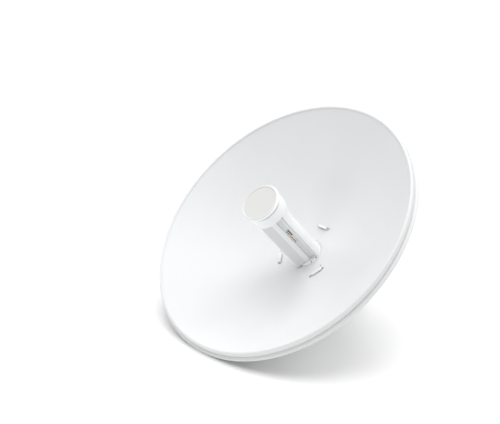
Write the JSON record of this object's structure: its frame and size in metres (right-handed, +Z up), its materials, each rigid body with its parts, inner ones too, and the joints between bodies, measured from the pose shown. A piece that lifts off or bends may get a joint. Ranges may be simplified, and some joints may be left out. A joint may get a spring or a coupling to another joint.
{
  "type": "outdoor wireless bridge",
  "caption": "Outdoor dish radio that links two networks: a white parabolic reflector with a centre-fed radio, rear housing and a tilting pole bracket with a steel strap.",
  "frame": {"origin": "on the surface the dish rests on, under the middle of its bounding box", "axes": "+X across the dish; +Z up; the dish's boresight lies in the YZ plane, pointing along -Y and 47 degrees up, as it rests on its rim and bracket"},
  "size_m": [0.42, 0.314, 0.2905],
  "materials": {
    "dish_paint": "satin white powder coat",
    "housing_plastic": "fine moulded texture, white",
    "feed_plastic": "smooth white moulding",
    "cover_plastic": "satin, cool white",
    "cap_plastic": "satin, warm white",
    "light_lens": "translucent light guide",
    "grey_plastic": "satin grey",
    "black_plastic": "satin black",
    "seal_rubber": "matt",
    "circuit_board": "solder mask over glass laminate",
    "feed_metal": "plain",
    "bright_steel": "zinc plated",
    "strap_steel": "rolled stainless",
    "bracket_plastic": "white, glass filled"
  },
  "bodies": {
    "dish": {"reflector": "dish_paint", "hub_collar": "housing_plastic", "rear_housing": "housing_plastic", "rear_cover": "housing_plastic", "housing_gasket": "seal_rubber", "cover_screw_1": "bright_steel", "cover_screw_2": "bright_steel", "cover_screw_3": "bright_steel", "cover_screw_4": "bright_steel", "door_pin": "bright_steel", "lock_bolt": "bright_steel", "lock_nut": "bright_steel", "lock_washer_left": "bright_steel", "lock_washer_right": "bright_steel"},
    "feed": {"feed_cap": "cap_plastic", "cap_seal": "seal_rubber", "feed_tube": "feed_plastic", "feed_cover": "cover_plastic", "light_strip": "light_lens", "subreflector": "feed_metal", "feed_horn": "feed_metal", "radio_board": "circuit_board", "rf_shield": "feed_metal", "ethernet_jack": "feed_metal", "reset_switch": "black_plastic", "feed_plug": "grey_plastic", "board_screw_1": "bright_steel", "board_screw_2": "bright_steel"},
    "reset": {"reset_button": "black_plastic"},
    "port_flap": {"port_door": "housing_plastic", "cable_grommet": "seal_rubber"},
    "left_button": {"release_button_left": "grey_plastic"},
    "right_button": {"release_button_right": "grey_plastic"},
    "bracket": {"pole_bracket": "bracket_plastic", "pivot_bolt": "bright_steel", "pivot_nut": "bright_steel", "pivot_washer_left": "bright_steel", "pivot_washer_right": "bright_steel", "pole_strap": "strap_steel", "worm_housing": "strap_steel"},
    "worm": {"worm_screw": "bright_steel"}
  },
  "joints": [
    {"name": "elevation_tilt", "type": "hinge", "parent": "dish", "child": "bracket", "pos_m": [0, 0.09436, 0.05733], "axis": [1, 0, 0], "range_deg": [-20, 20]},
    {"name": "feed_release", "type": "slide", "parent": "dish", "child": "feed", "axis": [0, -0.6775, 0.7355], "range_m": [0, 0.03]},
    {"name": "reset_press", "type": "slide", "parent": "feed", "child": "reset", "axis": [0, 0.7355, 0.6775], "range_m": [0, 0.0005], "stiffness_N_per_m": 400},
    {"name": "port_flap_swing", "type": "hinge", "parent": "dish", "child": "port_flap", "pos_m": [0, -0.00016, 0.046], "axis": [-1, 0, 0], "range_deg": [0, 100]},
    {"name": "left_button_press", "type": "slide", "parent": "dish", "child": "left_button", "axis": [1, 0, 0], "range_m": [0, 0.003], "stiffness_N_per_m": 500},
    {"name": "right_button_press", "type": "slide", "parent": "dish", "child": "right_button", "axis": [-1, 0, 0], "range_m": [0, 0.003], "stiffness_N_per_m": 500},
    {"name": "worm_turn", "type": "hinge", "parent": "bracket", "child": "worm", "pos_m": [0.0225, 0.11429, 0.02093], "axis": [0, 0.6775, -0.7355], "continuous": true}
  ]
}
